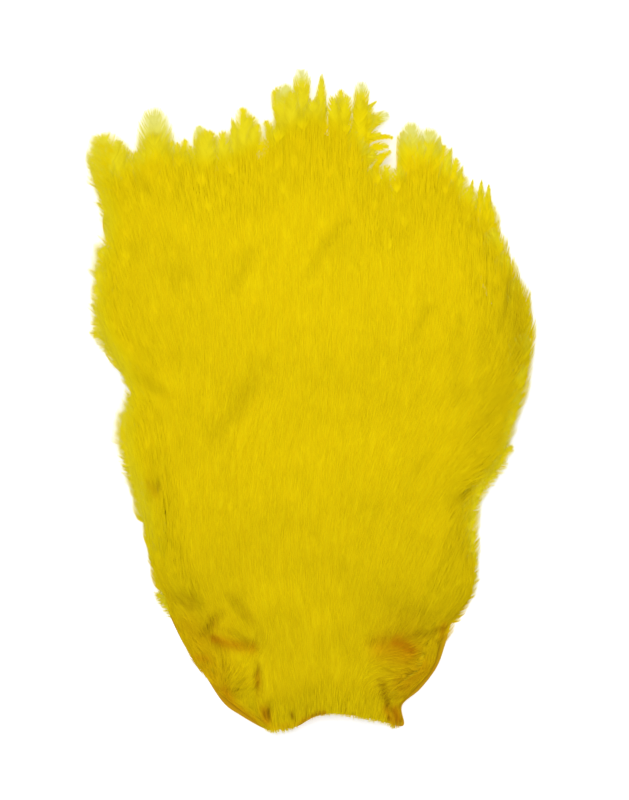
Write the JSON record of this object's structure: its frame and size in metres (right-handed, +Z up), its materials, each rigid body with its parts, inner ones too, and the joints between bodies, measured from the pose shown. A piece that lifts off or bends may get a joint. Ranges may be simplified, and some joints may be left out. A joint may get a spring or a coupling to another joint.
{
  "type": "hen cape",
  "caption": "Dyed yellow hen cape lying flat: dried neck skin under a thick mat of overlapping feathers with frayed tips.",
  "frame": {"origin": "under the middle of the whole cape, on the surface that it lies on", "axes": "+Y from the head end to the tail end, the way the feathers point; +Z up, out of the feathers"},
  "size_m": [0.1318, 0.1956, 0.0188],
  "materials": {
    "skin": "dried orange hide with follicle bumps and fine creases, semi-matt",
    "plumage": "soft matt dyed yellow feather barbs, paler and see-through at the tips"
  },
  "bodies": {
    "root": {"skin": "skin", "plumage": "plumage"}
  },
  "joints": []
}
